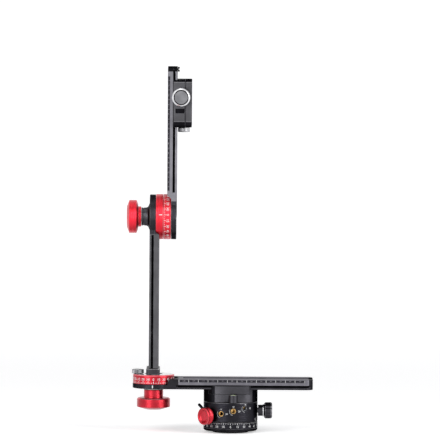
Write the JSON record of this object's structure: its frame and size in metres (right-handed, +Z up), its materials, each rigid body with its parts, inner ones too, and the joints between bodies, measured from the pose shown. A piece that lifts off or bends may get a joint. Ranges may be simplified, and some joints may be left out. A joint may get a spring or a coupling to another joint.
{
  "type": "panoramic tripod head",
  "caption": "Panoramic tripod head: an indexing pan base and level, a clamped dovetail rail, a swinging upright arm, a tilting upper rail and a camera plate clamp.",
  "frame": {"origin": "where the tripod's screw enters, in the middle of the base's underside", "axes": "+Z up along the pan axis, +X to the right along the lower rail, +Y away from the person at the front"},
  "size_m": [0.1937, 0.076, 0.3786],
  "materials": {
    "black_anodised": "satin black anodised",
    "red_anodised": "bright red anodised",
    "bright_steel": "polished rim, brushed face",
    "dark_steel": "blackened, half bright",
    "brass": "machined",
    "bearing_plastic": "matt",
    "level_vial": "clear with tinted liquid"
  },
  "bodies": {
    "base": {"base_plate": "black_anodised", "degree_ring": "black_anodised", "tripod_bushing": "dark_steel", "base_screw_1": "dark_steel", "base_screw_2": "dark_steel", "base_screw_3": "dark_steel", "spindle": "dark_steel", "detent_ring_1": "brass", "detent_ring_2": "brass", "detent_ring_3": "brass", "detent_ring_4": "brass", "glide_ring": "bearing_plastic", "thrust_bearing": "bearing_plastic", "retaining_nut": "dark_steel"},
    "pan": {"rotator_housing": "black_anodised", "plunger_barrel": "dark_steel", "plunger_tommy_bar": "black_anodised", "rail_clamp_base": "black_anodised", "clamp_base_screw_1": "dark_steel", "clamp_base_screw_2": "dark_steel", "clamp_base_screw_3": "dark_steel", "level_housing": "black_anodised", "level_vial": "level_vial"},
    "detent_plunger": {"plunger_knob": "red_anodised", "plunger_pin": "dark_steel", "plunger_spring": "dark_steel"},
    "pan_lock": {"pan_lock_knob": "black_anodised", "pan_lock_screw": "dark_steel"},
    "pan_brake": {"pan_brake_pad": "bearing_plastic"},
    "rail_jaw": {"rail_clamp_jaw": "black_anodised", "jaw_guide_pin_1": "dark_steel", "jaw_guide_pin_2": "dark_steel"},
    "rail_grip": {"rail_clamp_knob": "black_anodised", "rail_clamp_screw": "dark_steel"},
    "rail": {"lower_rail": "black_anodised"},
    "arm": {"swing_dial": "red_anodised", "arm_foot": "black_anodised", "arm_foot_screw_1": "dark_steel", "arm_foot_screw_2": "dark_steel", "swing_bolt": "dark_steel", "lower_arm": "black_anodised", "tilt_hub": "black_anodised", "tilt_index_ring": "red_anodised", "tilt_bushing": "brass"},
    "swing_lock": {"swing_lock_knob": "red_anodised", "swing_washer": "bearing_plastic"},
    "swing_detent": {"swing_detent_knob": "bright_steel", "swing_detent_pin": "dark_steel", "swing_detent_spring": "dark_steel"},
    "tilt": {"tilt_dial": "red_anodised", "tilt_shaft": "dark_steel", "tilt_friction_washer": "bearing_plastic", "upper_rail": "black_anodised", "rail_stop_screw": "dark_steel"},
    "tilt_lock": {"tilt_lock_knob": "red_anodised"},
    "carriage": {"clamp_carriage": "black_anodised"},
    "plate_jaw": {"plate_jaw": "black_anodised"},
    "plate_knob": {"plate_clamp_knob": "bright_steel", "plate_clamp_screw": "dark_steel"},
    "thumbscrew": {"carriage_thumbscrew": "bright_steel"}
  },
  "joints": [
    {"name": "pan_turn", "type": "hinge", "parent": "base", "child": "pan", "pos_m": [0, 0, 0.0119], "axis": [0, 0, 1], "continuous": true},
    {"name": "plunger_pull", "type": "slide", "parent": "pan", "child": "detent_plunger", "axis": [-0.7431, -0.6691, 0], "range_m": [0, 0.003], "stiffness_N_per_m": 1500, "springref_m": -0.002},
    {"name": "pan_lock_turn", "type": "hinge", "parent": "pan", "child": "pan_lock", "pos_m": [0.0285, 0, 0.0224], "axis": [1, 0, 0], "range_deg": [-150, 0]},
    {"name": "pan_brake_press", "type": "slide", "parent": "pan", "child": "pan_brake", "axis": [-1, 0, 0], "range_m": [0, 0.0003]},
    {"name": "rail_clamp_turn", "type": "hinge", "parent": "pan", "child": "rail_grip", "pos_m": [-0.0075, 0.0283, 0.0376], "axis": [0, 1, 0], "range_deg": [0, 720]},
    {"name": "rail_jaw_open", "type": "slide", "parent": "pan", "child": "rail_jaw", "axis": [0, -1, 0], "range_m": [0, 0.0025]},
    {"name": "rail_slide", "type": "slide", "parent": "pan", "child": "rail", "axis": [1, 0, 0], "range_m": [-0.048, 0.018]},
    {"name": "swing_turn", "type": "hinge", "parent": "rail", "child": "arm", "pos_m": [-0.08, 0, 0.0499], "axis": [0, 0, 1], "continuous": true},
    {"name": "swing_lock_turn", "type": "hinge", "parent": "rail", "child": "swing_lock", "pos_m": [-0.08, 0, 0.0434], "axis": [0, 0, -1], "range_deg": [0, 270]},
    {"name": "swing_detent_pull", "type": "slide", "parent": "arm", "child": "swing_detent", "axis": [0, 0, 1], "range_m": [0, 0.003], "stiffness_N_per_m": 1200, "springref_m": -0.002},
    {"name": "tilt_turn", "type": "hinge", "parent": "arm", "child": "tilt", "pos_m": [-0.085, 0, 0.223], "axis": [1, 0, 0], "continuous": true},
    {"name": "tilt_lock_turn", "type": "hinge", "parent": "tilt", "child": "tilt_lock", "pos_m": [-0.0938, 0, 0.223], "axis": [-1, 0, 0], "range_deg": [0, 270]},
    {"name": "carriage_slide", "type": "slide", "parent": "tilt", "child": "carriage", "axis": [0, 0, 1], "range_m": [-0.0649, 0.0075]},
    {"name": "plate_jaw_open", "type": "slide", "parent": "carriage", "child": "plate_jaw", "axis": [0, -1, 0], "range_m": [0, 0.0025]},
    {"name": "plate_clamp_turn", "type": "hinge", "parent": "plate_jaw", "child": "plate_knob", "pos_m": [-0.0531, -0.0229, 0.3479], "axis": [0, -1, 0], "range_deg": [0, 720]},
    {"name": "thumbscrew_turn", "type": "hinge", "parent": "carriage", "child": "thumbscrew", "pos_m": [-0.0503, 0, 0.3162], "axis": [0, 0, -1], "range_deg": [0, 270]}
  ],
  "couplings": [
    {"joint": "pan_lock_turn", "follows": "pan_brake_press", "rad_per_m": -8726.6},
    {"joint": "rail_clamp_turn", "follows": "rail_jaw_open", "rad_per_m": 5026.5},
    {"joint": "plate_clamp_turn", "follows": "plate_jaw_open", "rad_per_m": 5026.5}
  ]
}
